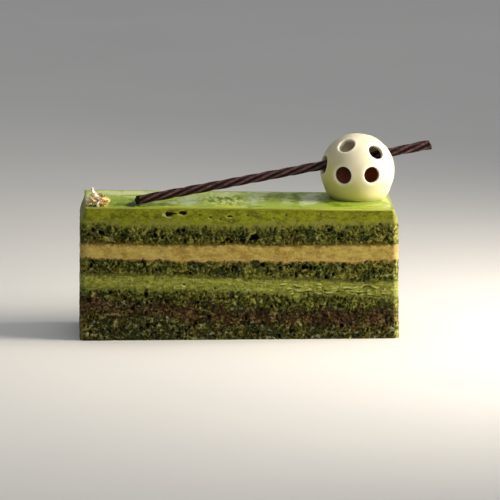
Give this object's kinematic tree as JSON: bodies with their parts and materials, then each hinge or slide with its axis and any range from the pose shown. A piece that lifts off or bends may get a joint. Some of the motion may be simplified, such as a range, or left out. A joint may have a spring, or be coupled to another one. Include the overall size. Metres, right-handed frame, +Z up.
{
  "type": "layered green tea cake slice",
  "caption": "Oblong slice of layered matcha cake with a glazed top, carrying a hollow holed white chocolate ball, a twisted chocolate stick and a tuft of gold leaf.",
  "frame": {"origin": "middle of the slice's flat underside", "axes": "+X along the slice towards the ball, +Y away from the cut front, +Z up"},
  "size_m": [0.123, 0.0367, 0.0677],
  "materials": {
    "green_sponge": "matte",
    "brown_sponge": "matte",
    "green_cream": "matte",
    "caramel_cream": "satin",
    "mousse": "satin",
    "glaze": "glossy",
    "white_chocolate": "satin",
    "dark_chocolate": "satin",
    "gold_leaf": "crumpled"
  },
  "bodies": {
    "root": {"base_sponge": "green_sponge", "cocoa_sponge": "brown_sponge", "lower_sponge": "green_sponge", "green_cream": "green_cream", "middle_sponge": "green_sponge", "caramel_cream": "caramel_cream", "top_sponge": "green_sponge", "matcha_mousse": "mousse", "glaze": "glaze", "white_chocolate_ball": "white_chocolate", "chocolate_twist": "dark_chocolate", "gold_leaf": "gold_leaf"}
  },
  "joints": []
}
